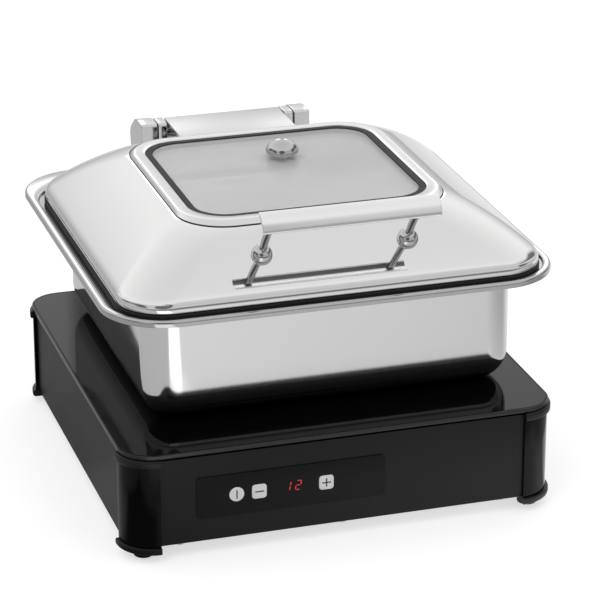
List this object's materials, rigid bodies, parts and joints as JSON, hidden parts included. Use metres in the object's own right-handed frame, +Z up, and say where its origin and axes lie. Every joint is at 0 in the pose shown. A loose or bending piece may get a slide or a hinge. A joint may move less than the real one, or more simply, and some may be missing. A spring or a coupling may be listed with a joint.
{
  "type": "electric food warmer tray",
  "caption": "Square induction food warmer: a chafing dish with a hinged window lid and front handle on a black base unit with keys and display.",
  "frame": {"origin": "on the floor, under the middle of the bounding box", "axes": "+X to the right seen from the front, +Y to the back, where the hinge is, +Z up"},
  "size_m": [0.4208, 0.4614, 0.3068],
  "materials": {
    "black_glass": "polished black ceramic glass, opaque",
    "grey_bead": "light grey bead",
    "black_rubber": "matte",
    "black_sheet": "satin black coating",
    "plain_steel": "plain steel",
    "matte_black": "fine matte",
    "gloss_black": "gloss",
    "key_grey": "soft sheen",
    "board": "solder resist",
    "mica": "mica",
    "copper": null,
    "pale_plastic": "natural",
    "ferrite": null,
    "aluminium": "extruded",
    "polished_steel": "mirror polished stainless steel",
    "satin_steel": "satin stainless steel",
    "bright_trim": "bright chrome",
    "clear_glass": "clear toughened glass"
  },
  "bodies": {
    "warmer": {"bottom_corner_caps": "matte_black", "bottom_plate": "plain_steel", "coil_carrier": "pale_plastic", "control_board": "board", "control_overlay": "gloss_black", "corner_profile_front_left": "gloss_black", "corner_profile_front_right": "gloss_black", "corner_profile_rear_left": "gloss_black", "corner_profile_rear_right": "gloss_black", "display_module": "gloss_black", "fan_housing": "matte_black", "ferrite_bars": "ferrite", "foot_front_left": "black_rubber", "foot_front_right": "black_rubber", "foot_rear_left": "black_rubber", "foot_rear_right": "black_rubber", "front_panel": "black_sheet", "glass_plate": "black_glass", "glass_seal": "black_rubber", "glass_trim": "grey_bead", "heat_sink": "aluminium", "housing_screws": "plain_steel", "induction_coil": "copper", "key_switches": "gloss_black", "left_panel": "black_sheet", "mains_inlet": "matte_black", "mica_sheet": "mica", "power_board": "board", "rear_panel": "black_sheet", "right_panel": "black_sheet", "temperature_sensor": "plain_steel", "top_corner_caps": "matte_black", "top_frame": "black_sheet"},
    "dish": {"water_pan": "polished_steel", "lid_seal": "black_rubber", "food_pan": "satin_steel", "hinge_bracket_left": "satin_steel", "hinge_bracket_right": "satin_steel", "hinge_pin": "plain_steel", "friction_washers": "pale_plastic", "hinge_backing": "plain_steel", "hinge_screws": "plain_steel"},
    "lid": {"lid_shell": "polished_steel", "window_frame": "bright_trim", "window_gasket": "black_rubber", "window_glass": "clear_glass", "vent_stem": "bright_trim", "handle_rods": "bright_trim", "handle_rosettes": "bright_trim", "handle_nuts": "plain_steel", "handle_bar": "satin_steel", "hinge_arm": "satin_steel", "hinge_cover": "satin_steel"},
    "vent_cap": {"vent_knob": "bright_trim"},
    "fan": {"fan_rotor": "matte_black"},
    "on_key": {"key_on": "key_grey"},
    "minus_key": {"key_minus": "key_grey"},
    "plus_key": {"key_plus": "key_grey"}
  },
  "joints": [
    {"name": "dish_lift", "type": "slide", "parent": "warmer", "child": "dish", "axis": [0, 0, 1], "range_m": [0, 0.12]},
    {"name": "lid_hinge", "type": "hinge", "parent": "dish", "child": "lid", "pos_m": [0.00135, 0.20075, 0.248], "axis": [-1, 0, 0], "range_deg": [0, 90]},
    {"name": "vent_turn", "type": "hinge", "parent": "lid", "child": "vent_cap", "pos_m": [0.01135, 0.02575, 0.2765], "axis": [0, 0, 1], "range_deg": [0, 90]},
    {"name": "fan_spin", "type": "hinge", "parent": "warmer", "child": "fan", "pos_m": [-0.13235, 0.09025, 0.02], "axis": [0, 0, 1], "continuous": true},
    {"name": "on_key_press", "type": "slide", "parent": "warmer", "child": "on_key", "axis": [0, 1, 0], "range_m": [0, 0.0005], "stiffness_N_per_m": 400, "springref_m": -0.0005},
    {"name": "minus_key_press", "type": "slide", "parent": "warmer", "child": "minus_key", "axis": [0, 1, 0], "range_m": [0, 0.0005], "stiffness_N_per_m": 400, "springref_m": -0.0005},
    {"name": "plus_key_press", "type": "slide", "parent": "warmer", "child": "plus_key", "axis": [0, 1, 0], "range_m": [0, 0.0005], "stiffness_N_per_m": 400, "springref_m": -0.0005}
  ]
}
